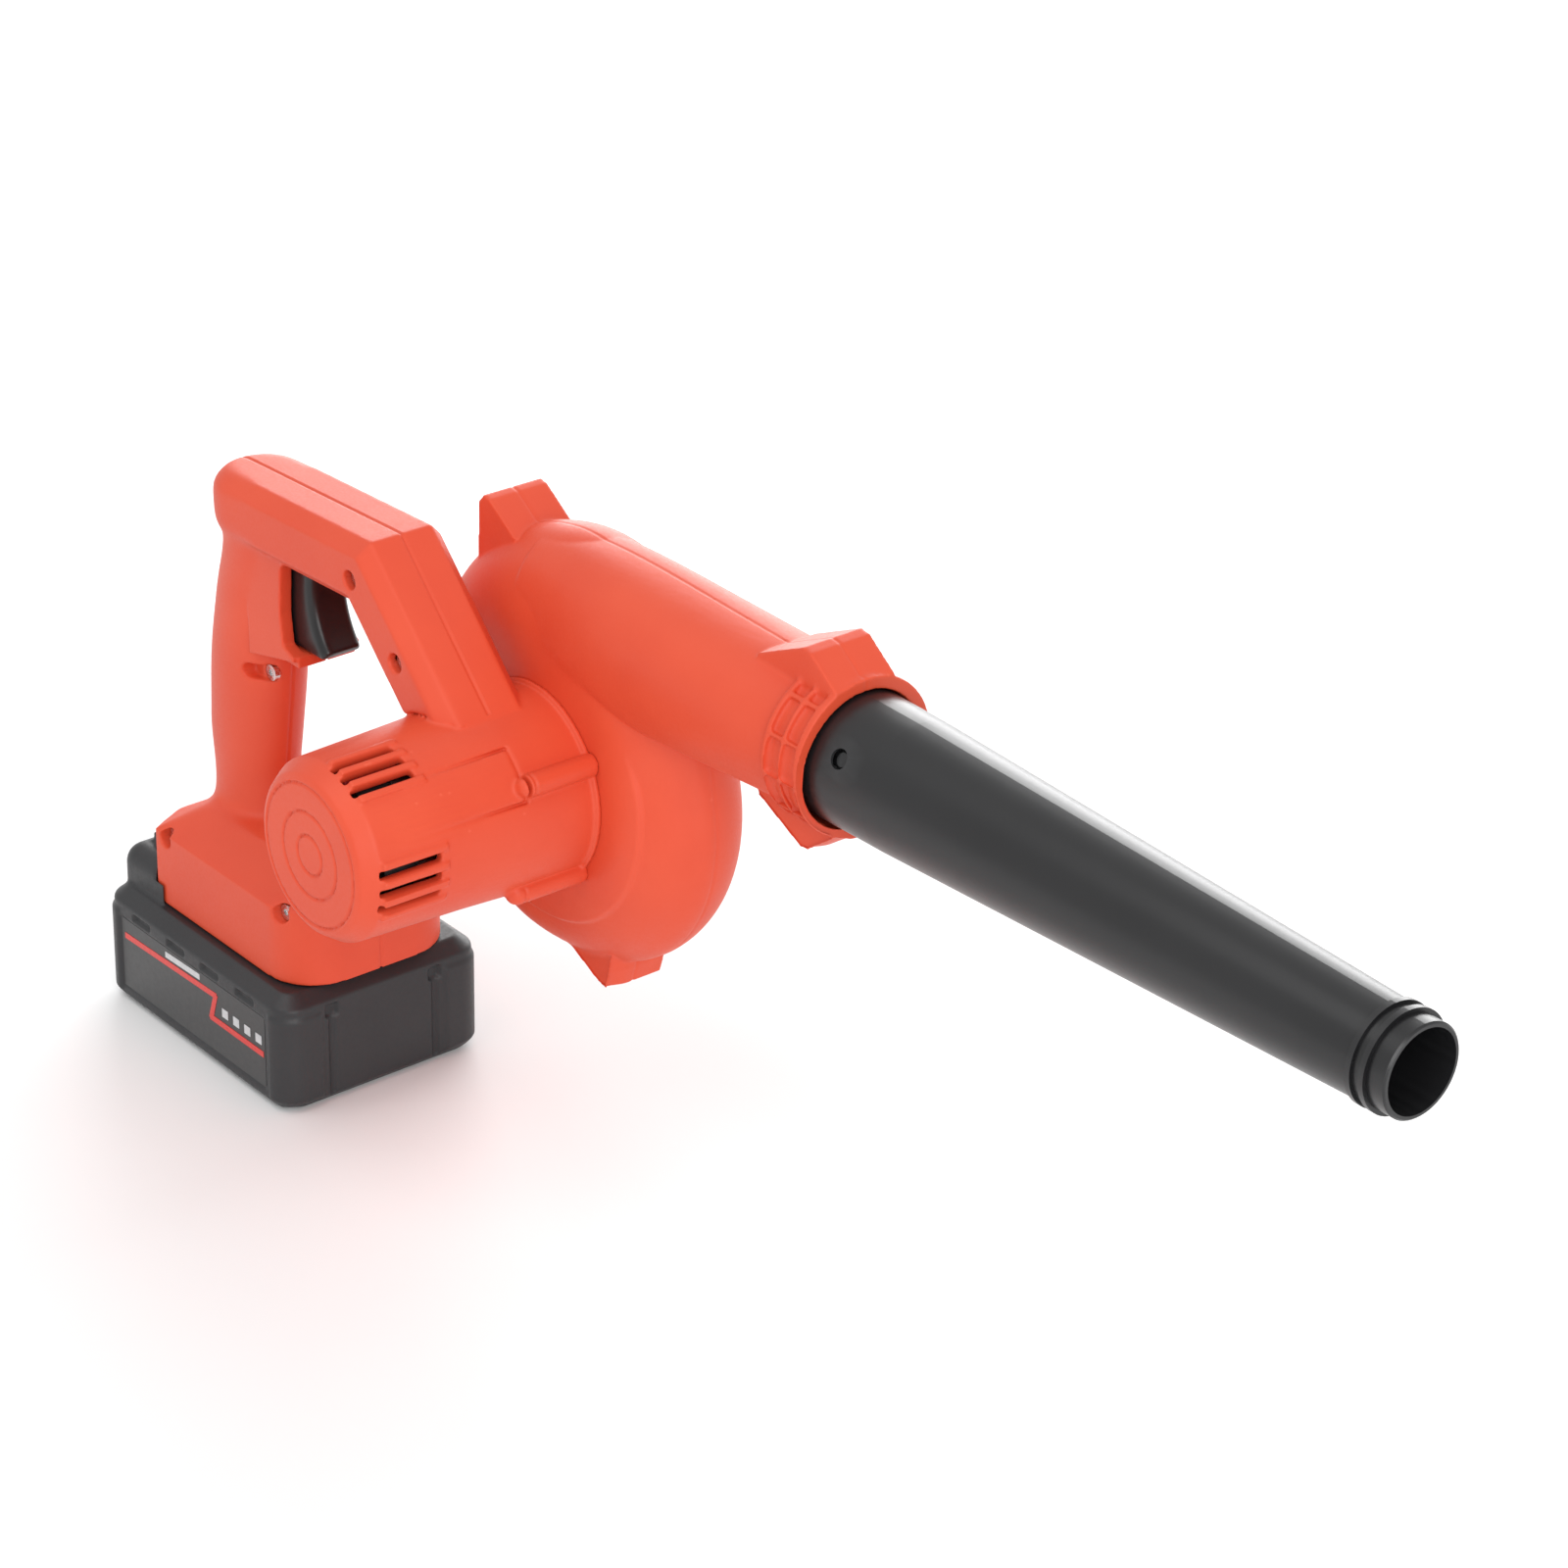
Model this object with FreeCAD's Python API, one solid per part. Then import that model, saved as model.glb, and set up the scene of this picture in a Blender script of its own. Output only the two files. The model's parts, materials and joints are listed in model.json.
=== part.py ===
import FreeCAD, Part
import math
import os

V = FreeCAD.Vector

# Cordless hand-held leaf blower.  Millimetres.  Origin: centre of the battery underside.
# +X runs along the nozzle, +Y towards the air inlet, +Z up.

# ---- driving dimensions -------------------------------------------------------------
WALL = 2.6              # moulded shell thickness

PACK_LENGTH = 114.0     # battery pack
PACK_WIDTH = 83.5
PACK_SEAM_Z = 24.0
PACK_EDGE_Z = 40.0      # top of the straight side walls
PACK_DECK_Z = 44.4      # flat deck the tool foot sits on
PACK_WALL = 2.2
BLADE_ROWS = (-12.0, 0.0, 12.0)
POST_X = 51.3           # case screw posts
POST_Y = 35.2
RAIL_HALF_WIDTH = 24.8
RAIL_TOP_Z = 61.5
CELL_RADIUS = 9.2
CELL_LENGTH = 65.0
CELL_PITCH = 19.2

FOOT_BOTTOM_Z = 45.0    # battery foot of the handle
FOOT_CREASE_Z = 73.0
FOOT_TOP_Z = 82.0
FOOT_HALF_WIDTH = 34.0
FOOT_FRONT_X = 56.0
FOOT_REAR_X = -41.0
CHANNEL_HALF_WIDTH = 25.3
CHANNEL_TOP_Z = 62.5
CHANNEL_FRONT_X = 46.0

BAR_HALF_WIDTH = 17.0   # top bar and front bar of the D handle
BAR_THICKNESS = 24.6
BAR_CHAMFER = 5.0
NOSE_X = -9.5           # centre of the round rear end of the top bar
BAR_CORNER = (73.0, 215.3)
BAR_SLOPE_X = -30.0     # with BAR_SLOPE_Z, a second point on the top bar's upper face
BAR_SLOPE_Z = 210.5
BAR_END = (121.5, 167.5)

MOTOR_X = 113.4         # motor and fan axis, parallel to Y
MOTOR_Z = 134.7
CAP_Y = -66.0
BARREL_RADIUS = 33.4
BARREL_INNER_RADIUS = 29.0
FACE_Y = 25.0           # near face of the fan scroll
SEAM_Y = 48.0           # parting plane of the fan scroll, also the nozzle plane
FAR_Y = 69.0
SCROLL_START_RADIUS = 65.7
SCROLL_START_DEG = 8.0
SCROLL_GROWTH = 0.0615  # millimetres per degree
SCROLL_TURN = 278.0     # degrees of growth, tongue to top
INLET_RADIUS = 31.0
BOSS_ANGLES = (30.0, -46.0, 150.0, 226.0)   # screw bosses along the barrel
BOSS_CIRCLE = 34.2
BOSS_RADIUS = 3.9

NOZZLE_Z = 190.5
COLLAR_X = 233.0
COLLAR_FRONT_X = 251.0
SLEEVE_FRONT_X = 272.0
SLEEVE_RADIUS = 19.6
NOZZLE_ROOT_X = 238.0
NOZZLE_ROOT_RADIUS = 22.5
NOZZLE_TIP_X = 487.5
NOZZLE_TIP_RADIUS = 15.0
NOZZLE_TIP_BORE = 13.4
PIN_X = 262.0
PIN_DEG = 152.0         # pin direction in the Y-Z plane, measured from +Y towards +Z
PIN_RADIUS = 2.3

SHAFT_RADIUS = 2.5
IMPELLER_RADIUS = 50.0
BLADES = 9


# ---- small helpers ------------------------------------------------------------------
def box(x0, x1, y0, y1, z0, z1):
    return Part.makeBox(x1 - x0, y1 - y0, z1 - z0, V(x0, y0, z0))


def cyl_x(y, z, radius, x0, x1):
    return Part.makeCylinder(radius, x1 - x0, V(x0, y, z), V(1, 0, 0))


def cyl_y(x, z, radius, y0, y1):
    return Part.makeCylinder(radius, y1 - y0, V(x, y0, z), V(0, 1, 0))


def cyl_z(x, y, radius, z0, z1):
    return Part.makeCylinder(radius, z1 - z0, V(x, y, z0), V(0, 0, 1))


def ring_y(x, z, outer, inner, y0, y1):
    return cyl_y(x, z, outer, y0, y1).cut(cyl_y(x, z, inner, y0 - 1, y1 + 1))


def ring_x(y, z, outer, inner, x0, x1):
    return cyl_x(y, z, outer, x0, x1).cut(cyl_x(y, z, inner, x0 - 1, x1 + 1))


def slab(points, y0, y1):
    """A side outline (x, z) carried from y0 to y1."""
    corners = [V(x, y0, z) for x, z in points]
    face = Part.Face(Part.makePolygon(corners + corners[:1]))
    return face.extrude(V(0, y1 - y0, 0))


def turned_y(profile):
    """A (radius, y) outline turned about the motor axis."""
    corners = [V(MOTOR_X + r, y, MOTOR_Z) for r, y in profile]
    face = Part.Face(Part.makePolygon(corners + corners[:1]))
    return face.revolve(V(MOTOR_X, 0, MOTOR_Z), V(0, 1, 0), 360)


def turned_x(profile):
    """An (x, radius) outline turned about the nozzle axis."""
    corners = [V(x, SEAM_Y, NOZZLE_Z + r) for x, r in profile]
    face = Part.Face(Part.makePolygon(corners + corners[:1]))
    return face.revolve(V(0, SEAM_Y, NOZZLE_Z), V(1, 0, 0), 360)


def fuse(shapes):
    whole = shapes[0].multiFuse(shapes[1:]) if len(shapes) > 1 else shapes[0]
    return whole.removeSplitter()


def group(shapes):
    return Part.makeCompound(shapes)


def tube(points, radius):
    """A round lead through a list of points, with ball joints at the bends."""
    pieces = []
    for a, b in zip(points[:-1], points[1:]):
        start = V(*a)
        run = V(*b) - start
        pieces.append(Part.makeCylinder(radius, run.Length, start, run))
    for point in points[1:-1]:
        pieces.append(Part.makeSphere(radius, V(*point)))
    return fuse(pieces)


def coil(x, y, z, radius, wire, pitch, height):
    """A compression spring standing up along Z."""
    path = Part.makeHelix(pitch, height, radius)
    path.translate(V(x, y, z))
    circle = Part.makeCircle(wire, V(x + radius, y, z), V(0, 1, 0))
    return Part.Wire(path).makePipeShell([Part.Wire(circle)], True, True)


def on_motor(radius, degrees):
    angle = math.radians(degrees)
    return MOTOR_X + radius * math.cos(angle), MOTOR_Z + radius * math.sin(angle)


# ---- handle: grip, top bar, front bar, foot -----------------------------------------
def ellipse_wire(z, x, half_length, half_width):
    curve = Part.Ellipse(V(x, 0, z), half_length, half_width)
    return Part.Wire([curve.toShape()])


def grip_body(inset):
    # height, centre, half depth, half width
    stations = [(67, -17.6, 18.9, 13.7), (88, -17.5, 18.8, 13.5), (97.6, -18.1, 18.8, 13.4),
                (109.3, -17.7, 19.8, 14.0), (121.3, -16.4, 20.2, 14.4), (133.2, -15.1, 20.5, 14.7),
                (145, -13.5, 20.5, 14.7), (157.1, -11.0, 20.5, 14.7), (169.4, -8.2, 20.5, 14.7),
                (182, -4.3, 20.9, 14.9), (193, -2.9, 21.6, 15.3), (200, -2.5, 22.0, 15.6)]
    wires = []
    for z, x, depth, width in stations:
        wires.append(ellipse_wire(z, x, depth - inset, width - inset))
    return Part.makeLoft(wires, True, False)


def bar_body(start, end, before, after, inset):
    """One straight bar of the handle; its outer line runs from start to end."""
    run, out = bar_line(start, end)
    length = math.hypot(end[0] - start[0], end[1] - start[1])
    top = -inset
    low = inset - BAR_THICKNESS
    side = BAR_HALF_WIDTH - inset
    cut = BAR_CHAMFER - 0.586 * inset
    section = [(-side, top - cut), (cut - side, top), (side - cut, top), (side, top - cut),
               (side, low + cut), (side - cut, low), (cut - side, low), (-side, low + cut)]
    origin = V(start[0], 0, start[1]) - run * before
    corners = [origin + V(0, y, 0) + out * n for y, n in section]
    face = Part.Face(Part.makePolygon(corners + corners[:1]))
    return face.extrude(run * (length + before + after))


def bar_line(p, q):
    """Unit vectors along a bar and outward from it, in the X-Z plane."""
    along = V(q[0] - p[0], 0, q[1] - p[1]).normalize()
    return along, V(-along.z, 0, along.x)


def nose_start():
    slope = (BAR_CORNER[1] - BAR_SLOPE_Z) / (BAR_CORNER[0] - BAR_SLOPE_X)
    return NOSE_X, BAR_CORNER[1] - slope * (BAR_CORNER[0] - NOSE_X)


def nose_body(inset):
    """Round rear end of the top bar: half of the bar's section turned about its end."""
    start = nose_start()
    along, out = bar_line(start, BAR_CORNER)
    low = inset - BAR_THICKNESS
    side = BAR_HALF_WIDTH - inset
    cut = BAR_CHAMFER - 0.586 * inset
    section = [(0, -inset), (side - cut, -inset), (side, -inset - cut), (side, low + cut),
               (side - cut, low), (0, low)]
    origin = V(start[0], 0, start[1])
    corners = [origin + V(0, y, 0) + out * n for y, n in section]
    face = Part.Face(Part.makePolygon(corners + corners[:1]))
    return face.revolve(origin, out, 360)


def mitre_slab(keep_rear):
    """Everything on one side of the plane that splits the handle corner."""
    a = bar_line(nose_start(), BAR_CORNER)[0]
    b = bar_line(BAR_CORNER, BAR_END)[0]
    across = (a + b).normalize()
    along = V(-across.z, 0, across.x)
    reach = 300.0
    away = across * (-reach if keep_rear else reach)
    corner = V(BAR_CORNER[0], 0, BAR_CORNER[1])
    points = [corner + along * reach, corner - along * reach,
              corner - along * reach + away, corner + along * reach + away]
    return slab([(p.x, p.z) for p in points], -60, 60)


def foot_plan(z, inset, taper):
    """Plan outline of the foot, drawn in by inset (walls) and taper (roof)."""
    shrink = inset + taper
    front = FOOT_FRONT_X - shrink
    side = FOOT_HALF_WIDTH - shrink
    corner = max(19.0 - shrink, 3.0)
    rear = FOOT_REAR_X + shrink
    flank_x = -33.0 + 0.6 * shrink
    flank_y = max(20.0 - 0.6 * shrink, 6.0)
    bulge = corner * math.sqrt(0.5)
    a = V(rear, -flank_y, z)
    b = V(rear, flank_y, z)
    c = V(flank_x, side, z)
    d = V(front - corner, side, z)
    d_mid = V(front - corner + bulge, side - corner + bulge, z)
    e = V(front, side - corner, z)
    f = V(front, corner - side, z)
    f_mid = V(front - corner + bulge, corner - side - bulge, z)
    g = V(front - corner, -side, z)
    h = V(flank_x, -side, z)
    edges = [Part.makeLine(a, b), Part.makeLine(b, c), Part.makeLine(c, d),
             Part.Arc(d, d_mid, e).toShape(), Part.makeLine(e, f),
             Part.Arc(f, f_mid, g).toShape(), Part.makeLine(g, h), Part.makeLine(h, a)]
    return Part.Wire(edges)


def foot_body(inset):
    low = FOOT_BOTTOM_Z - inset
    crease = FOOT_CREASE_Z - 0.5 * inset
    lower = Part.Face(foot_plan(low, inset, 0)).extrude(V(0, 0, crease - low))
    roof = Part.makeLoft([foot_plan(crease, inset, 0),
                          foot_plan(FOOT_TOP_Z - inset, inset, 16.0)], True, True)
    return lower.fuse(roof)


def strut_body(inset):
    """Lower link from the foot up to the motor barrel."""
    outline = [(24, 76 - inset), (50, 72 + inset), (96, 101 + inset), (96, 125 - inset),
               (84, 125 - inset), (56, 100 - inset), (30, 88 - inset), (14, 84 - inset)]
    return slab(outline, inset - 12, 12 - inset)


def trigger_hood(inset):
    """Thickening of the grip front that surrounds the trigger."""
    outline = [(0, 148), (12, 151), (27, 154.5), (27, 156.2), (21, 158.5), (19.5, 170),
               (20.5, 187), (25, 192), (0, 194)]
    if inset:
        outline = [(0, 151), (11, 154), (16.5, 157), (17, 187), (10, 191), (0, 191)]
    return slab(outline, inset - 13.5, 13.5 - inset)


def handle_solid(inset):
    top = bar_body(nose_start(), BAR_CORNER, 0, 40, inset).common(mitre_slab(True))
    top = top.fuse(nose_body(inset))
    front = bar_body(BAR_CORNER, BAR_END, 40, 14, inset).common(mitre_slab(False))
    pieces = [grip_body(inset), top, front, foot_body(inset)]
    pieces.append(trigger_hood(inset))
    pieces.append(strut_body(inset))
    return pieces[0].multiFuse(pieces[1:])


# x, z, level of the head's outer face, level of the tip, boss radius
HANDLE_SCREWS = [(67.0, 201.0, -14.0, 10.5, 3.7), (92.2, 180.6, -14.0, 10.5, 3.7),
                 (3.0, 139.8, -7.0, 5.4, 3.7),
                 (-27.0, 71.0, -30.0, 10.5, 4.3), (43.0, 71.2, -30.0, 10.5, 4.3)]
HEAD_HEIGHT = 2.0


def handle_halves():
    outer = handle_solid(0)
    shell = outer.cut(handle_solid(WALL))
    # channel that takes the rails of the pack
    liner = box(-44, CHANNEL_FRONT_X + WALL, -28, 28, FOOT_BOTTOM_Z, CHANNEL_TOP_Z + 2.4)
    shell = shell.fuse(liner.common(outer))
    # pad behind the relief of the grip screw
    bosses = [box(-6.3, 6.5, -16, -4, 133.5, 146).common(outer)]
    for x, z, head_y, tip_y, radius in HANDLE_SCREWS:
        bosses.append(cyl_y(x, z, radius, -40, 40).common(outer))
    shell = shell.multiFuse(bosses)
    shell = shell.cut(box(-60, CHANNEL_FRONT_X, -CHANNEL_HALF_WIDTH, CHANNEL_HALF_WIDTH,
                          40, CHANNEL_TOP_Z))
    for side in (-1, 1):
        near = CHANNEL_HALF_WIDTH + 0.2
        lip = 21.6
        rail = box(-30, 40, min(side * lip, side * near), max(side * lip, side * near), 51.6, 54.4)
        shell = shell.fuse(rail)
    # catch pocket for the pack latch, open towards the rear
    shell = shell.cut(box(-60, -34, -8, 8, 55, 68))
    # trigger window and lead openings
    shell = shell.cut(box(8, 40, -8.3, 8.3, 156.4, 187.0))
    shell = shell.cut(box(33, 45, -8, 8, 60, 69))
    shell = shell.cut(turned_y([(0, -80), (BARREL_RADIUS + 0.3, -80),
                                (BARREL_RADIUS + 0.3, FACE_Y), (0, FACE_Y)]))
    shell = shell.cut(saddle_block(0.05))
    for angle in BOSS_ANGLES:
        x, z = on_motor(BOSS_CIRCLE, angle)
        shell = shell.cut(cyl_y(x, z, BOSS_RADIUS + 0.4, -6, FACE_Y))
    # seats that hold the switch body
    seat = box(-18, 3.2, -16, 16, 154.6, 157.6).common(outer).cut(box(-12, 2, -8, 8, 150, 160))
    shell = shell.fuse(seat)
    screw_cut = []
    head_cut = []
    for x, z, head_y, tip_y, radius in HANDLE_SCREWS:
        head_cut.append(cyl_y(x, z, 3.3, -60, head_y + HEAD_HEIGHT))
        screw_cut.append(cyl_y(x, z, 1.7, -60, 0))
        screw_cut.append(cyl_y(x, z, 1.45, 0, tip_y + 0.5))
    shell = shell.cut(Part.makeCompound(head_cut))
    shell = shell.cut(Part.makeCompound(screw_cut))
    # long shallow relief that leads to the grip screw
    slot = box(-2.6, 3.0, -30, -7.4, 136.9, 142.7).fuse(cyl_y(-2.6, 139.8, 2.9, -30, -7.4))
    shell = shell.cut(slot)
    right = shell.common(box(-100, 200, -60, 0, 0, 260))
    left = shell.common(box(-100, 200, 0, 60, 0, 260))
    return right, left


def handle_screws():
    screws = []
    for x, z, head_y, tip_y, radius in HANDLE_SCREWS:
        seat_y = head_y + HEAD_HEIGHT
        socket = cyl_y(x, z, 1.2, head_y - 1, head_y + 1.1)
        head = cyl_y(x, z, 2.9, head_y, seat_y).cut(socket)
        screws.append(head.fuse(cyl_y(x, z, 1.4, seat_y, tip_y)))
    return group(screws)


# ---- motor barrel -------------------------------------------------------------------
def saddle_block(grow):
    """Block on top of the barrel that the front bar slips over."""
    return box(97.5 - grow, 111.5 + grow, -9 - grow, 9 + grow, 160, 174 + grow)


def motor_housing():
    profile = [(0, CAP_Y), (25.7, CAP_Y), (27.6, CAP_Y + 1.0), (31.3, CAP_Y + 6.5),
               (32.5, -20), (BARREL_RADIUS, -2), (BARREL_RADIUS, FACE_Y), (0, FACE_Y)]
    body = turned_y(profile)
    tubes = []
    for angle in BOSS_ANGLES:
        x, z = on_motor(BOSS_CIRCLE, angle)
        tubes.append(cyl_y(x, z, BOSS_RADIUS, -1.5, FACE_Y))
        tubes.append(Part.makeSphere(BOSS_RADIUS, V(x, -1.5, z)))
    tubes.append(saddle_block(0))
    # raised flange where the barrel meets the scroll
    tubes.append(turned_y([(30, FACE_Y - 1.6), (BARREL_RADIUS + 1.4, FACE_Y - 1.6),
                           (BARREL_RADIUS + 1.4, FACE_Y), (30, FACE_Y)]))
    body = body.multiFuse(tubes)
    inside = [(0, CAP_Y + 3.0), (25.0, CAP_Y + 3.0), (28.2, CAP_Y + 7.5),
              (BARREL_INNER_RADIUS, -20), (BARREL_INNER_RADIUS, FACE_Y + 1), (0, FACE_Y + 1)]
    body = body.cut(turned_y(inside))
    for angle in (45, 135, 225, 315):
        rib = box(MOTOR_X + 21.4, MOTOR_X + BARREL_INNER_RADIUS + 1, -36, -30,
                  MOTOR_Z - 1.2, MOTOR_Z + 1.2)
        rib.rotate(V(MOTOR_X, 0, MOTOR_Z), V(0, 1, 0), -angle)
        body = body.fuse(rib)
    cuts = []
    # ring grooves in the end cap
    for middle in (6.9, 15.0, 24.6):
        cuts.append(ring_y(MOTOR_X, MOTOR_Z, middle + 0.5, middle - 0.5, CAP_Y - 1, CAP_Y + 0.6))
    # vent slots, front side low, top and the hidden rear side
    for angle in (6.4, -5.8, -17.0, 59.0, 69.6, 80.2, 173.6, 185.8, 197.0):
        slot = box(MOTOR_X + 20, MOTOR_X + 40, -60, -36.5, MOTOR_Z - 1.4, MOTOR_Z + 1.4)
        slot.rotate(V(MOTOR_X, 0, MOTOR_Z), V(0, 1, 0), -angle)
        cuts.append(slot.cut(turned_y([(0, -80), (24, -80), (24, 30), (0, 30)])))
    # shallow border of the plain panel between the vents
    for angle in (54.5, 21.5):
        line = box(MOTOR_X + 31.6, MOTOR_X + 40, -58, -1.5, MOTOR_Z - 0.6, MOTOR_Z + 0.6)
        line.rotate(V(MOTOR_X, 0, MOTOR_Z), V(0, 1, 0), -angle)
        cuts.append(line)
    band = ring_y(MOTOR_X, MOTOR_Z, 40, 32.7, -2.8, -1.5)
    sector = [(0, 0), on_local(60, 22), on_local(60, 54)]
    cuts.append(band.common(slab([(MOTOR_X + x, MOTOR_Z + z) for x, z in sector], -10, 10)))
    for angle in BOSS_ANGLES:
        x, z = on_motor(BOSS_CIRCLE, angle)
        cuts.append(cyl_y(x, z, 1.45, 4, FACE_Y + 1))
    cuts.append(box(100.0, 109.3, -6.8, 6.8, 150, 180))
    return body.cut(Part.makeCompound(cuts))


def on_local(radius, degrees):
    angle = math.radians(degrees)
    return radius * math.cos(angle), radius * math.sin(angle)


# ---- fan scroll, duct and collar ----------------------------------------------------
def scroll_radius(degrees):
    """Radius of the scroll at an angle measured clockwise from its tongue."""
    if degrees <= SCROLL_TURN:
        return SCROLL_START_RADIUS + SCROLL_GROWTH * degrees
    full = SCROLL_START_RADIUS + SCROLL_GROWTH * SCROLL_TURN
    part = (degrees - SCROLL_TURN) / (360.0 - SCROLL_TURN)
    blend = 0.5 - 0.5 * math.cos(math.pi * part)
    return full + (SCROLL_START_RADIUS - full) * blend


def scroll_wire(y, draw_in):
    points = []
    for step in range(30):
        turn = 12.0 * step
        radius = scroll_radius(turn) - draw_in
        x, z = on_motor(radius, SCROLL_START_DEG - turn)
        points.append(V(x, y, z))
    curve = Part.BSplineCurve()
    curve.interpolate(points, PeriodicFlag=True)
    return Part.Wire([curve.toShape()])


def scroll_body(inset):
    near = FACE_Y + inset
    far = FAR_Y - inset
    wires = []
    for part in (0.0, 0.03, 0.12, 0.26, 0.46, 0.70):
        drop = math.sqrt(1.0 - (1.0 - part) ** 2)
        y = near + (SEAM_Y - near) * part
        wires.append(scroll_wire(y, inset + 30.0 * (1.0 - drop)))
    wires.append(scroll_wire(SEAM_Y, inset))
    for part in (0.30, 0.54, 0.74, 0.88, 0.97, 1.0):
        drop = math.sqrt(1.0 - part ** 2)
        y = SEAM_Y + (far - SEAM_Y) * part
        wires.append(scroll_wire(y, inset + 19.0 * (1.0 - drop)))
    return Part.makeLoft(wires, True, False)


def duct_wire(x, middle, half_y, half_z, power, far_share):
    points = []
    for step in range(24):
        angle = math.radians(15.0 * step)
        c = math.cos(angle)
        s = math.sin(angle)
        y = half_y * math.copysign(abs(c) ** (2.0 / power), c)
        if y > 0:
            y *= far_share
        z = half_z * math.copysign(abs(s) ** (2.0 / power), s)
        points.append(V(x, SEAM_Y + y, middle + z))
    curve = Part.BSplineCurve()
    curve.interpolate(points, PeriodicFlag=True)
    return Part.Wire([curve.toShape()])


def duct_body(inset):
    # station, middle height, half width, half height, squareness, far half's share of the width
    stations = [(98, 188.6, 21.5, 25.6, 2.4, 0.80), (125, 190.6, 24.0, 26.8, 2.5, 0.76),
                (160, 190.9, 26.4, 26.6, 2.4, 0.76), (200, 190.7, 26.6, 25.6, 2.2, 0.88),
                (COLLAR_X + 0.6, NOZZLE_Z, 25.4, 25.0, 2.0, 1.0)]
    wires = []
    for x, middle, half_y, half_z, power, far_share in stations:
        wires.append(duct_wire(x, middle, half_y - inset, half_z - inset, power, far_share))
    return Part.makeLoft(wires, True, False)


LUG_HALF_WIDTH = 12.0
LUG_OUTLINES = {
    "rear": [(65.0, 190.0), (66.0, 215.0), (68.6, 218.2), (72.0, 217.6), (86.0, 208.5), (80.0, 192.0)],
    "top": [(212.0, 212.0), (213.0, 215.6), (234.5, 225.6), (238.5, 225.0), (250.8, 216.2),
            (250.8, 208.0), (235.0, 206.0)],
    "bottom": [(212.0, 169.0), (213.0, 165.4), (234.5, 155.4), (238.5, 156.0), (250.8, 164.8),
               (250.8, 173.0), (235.0, 175.0)],
    "foot": [(108.0, 70.0), (115.0, 67.0), (131.0, 59.6), (135.6, 59.2), (137.6, 66.0),
             (139.0, 74.0), (122.0, 76.0)],
}
LUG_SCREWS = [(74.0, 208.0), (234.0, 219.6), (234.0, 161.4), (129.5, 66.2)]


def collar_body():
    core = ring_x(SEAM_Y, NOZZLE_Z, 25.0, 20.0, COLLAR_X, COLLAR_FRONT_X)
    pieces = [core]
    for x0, x1, radius in ((COLLAR_X, 235.0, 27.2), (240.8, 242.4, 27.2),
                           (248.0, COLLAR_FRONT_X, 27.4)):
        pieces.append(ring_x(SEAM_Y, NOZZLE_Z, radius, 22.0, x0, x1))
    for step in range(12):
        rib = box(COLLAR_X, COLLAR_FRONT_X - 1, SEAM_Y + 23.5, SEAM_Y + 27.0,
                  NOZZLE_Z - 0.9, NOZZLE_Z + 0.9)
        rib.rotate(V(0, SEAM_Y, NOZZLE_Z), V(1, 0, 0), 30.0 * step + 8.0)
        pieces.append(rib)
    return fuse(pieces)


def scroll_halves():
    outer = scroll_body(0).fuse(duct_body(0))
    lugs = []
    for outline in LUG_OUTLINES.values():
        lugs.append(slab(outline, SEAM_Y - LUG_HALF_WIDTH, SEAM_Y + LUG_HALF_WIDTH))
    outer = outer.multiFuse(lugs + [collar_body()])
    # raised lip around the air inlet
    lip = ring_y(MOTOR_X, MOTOR_Z, INLET_RADIUS + 3.0, INLET_RADIUS, FAR_Y - 3.0, FAR_Y + 2.0)
    outer = outer.fuse(lip)
    inner = scroll_body(WALL).fuse(duct_body(WALL))
    body = outer.cut(inner)
    cuts = [cyl_y(MOTOR_X, MOTOR_Z, INLET_RADIUS, FAR_Y - 5, FAR_Y + 5),
            cyl_y(MOTOR_X, MOTOR_Z, 9.2, FACE_Y - 1, FACE_Y + 6),
            cyl_x(SEAM_Y, NOZZLE_Z, 23.0, COLLAR_X + 1.6, COLLAR_FRONT_X + 1),
            cyl_x(SEAM_Y, NOZZLE_Z, 21.8, COLLAR_X - 3, COLLAR_X + 3)]
    for angle in BOSS_ANGLES:
        x, z = on_motor(BOSS_CIRCLE, angle)
        cuts.append(cyl_y(x, z, 1.7, FACE_Y - 1, FACE_Y + 8))
        cuts.append(cyl_y(x, z, 3.2, FACE_Y + WALL, FACE_Y + WALL + 5))
    for side in (-1, 1):
        cuts.append(cyl_y(MOTOR_X + 14.0 * side, MOTOR_Z, 2.2, FACE_Y - 1, FACE_Y + 6))
    for x, z in LUG_SCREWS:
        cuts.append(cyl_y(x, z, 1.7, SEAM_Y, SEAM_Y + 20))
        cuts.append(cyl_y(x, z, 1.45, SEAM_Y - 8, SEAM_Y))
        cuts.append(cyl_y(x, z, 3.3, SEAM_Y + 8, SEAM_Y + 20))
    body = body.cut(Part.makeCompound(cuts))
    right = body.common(box(-20, 300, 0, SEAM_Y, 20, 260))
    left = body.common(box(-20, 300, SEAM_Y, 110, 20, 260))
    return right, left


def lug_screws():
    screws = []
    for x, z in LUG_SCREWS:
        head = cyl_y(x, z, 2.9, SEAM_Y + 8, SEAM_Y + 10)
        head = head.cut(cyl_y(x, z, 1.2, SEAM_Y + 8.9, SEAM_Y + 11))
        screws.append(head.fuse(cyl_y(x, z, 1.4, SEAM_Y - 7.5, SEAM_Y + 8)))
    return group(screws)


def barrel_screws():
    screws = []
    floor = FACE_Y + WALL
    for angle in BOSS_ANGLES:
        x, z = on_motor(BOSS_CIRCLE, angle)
        head = cyl_y(x, z, 2.9, floor, floor + 1.9).cut(cyl_y(x, z, 1.2, floor + 0.9, floor + 3))
        screws.append(head.fuse(cyl_y(x, z, 1.4, 5.0, floor)))
    return group(screws)


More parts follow.
